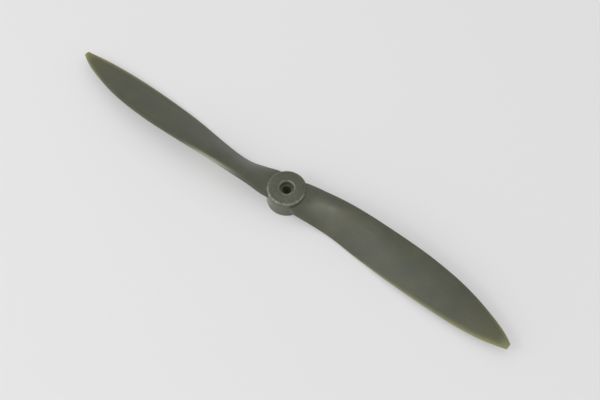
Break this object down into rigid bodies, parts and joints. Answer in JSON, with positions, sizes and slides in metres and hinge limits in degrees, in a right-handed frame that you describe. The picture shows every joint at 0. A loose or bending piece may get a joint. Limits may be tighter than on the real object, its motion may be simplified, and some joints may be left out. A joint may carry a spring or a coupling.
{
  "type": "model aircraft propeller",
  "caption": "One-piece moulded nylon propeller with twisted airfoil blades, a round hub and a stepped shaft bore, for a small model aircraft.",
  "frame": {"origin": "centre of the hub's back face, on the shaft axis", "axes": "+Z forward along the shaft axis, out of the front face of the hub; +X along one blade; +Y towards that blade's leading edge"},
  "size_m": [0.254, 0.0254, 0.0133],
  "materials": {
    "nylon": "satin olive grey"
  },
  "bodies": {
    "root": {"propeller": "nylon"}
  },
  "joints": []
}
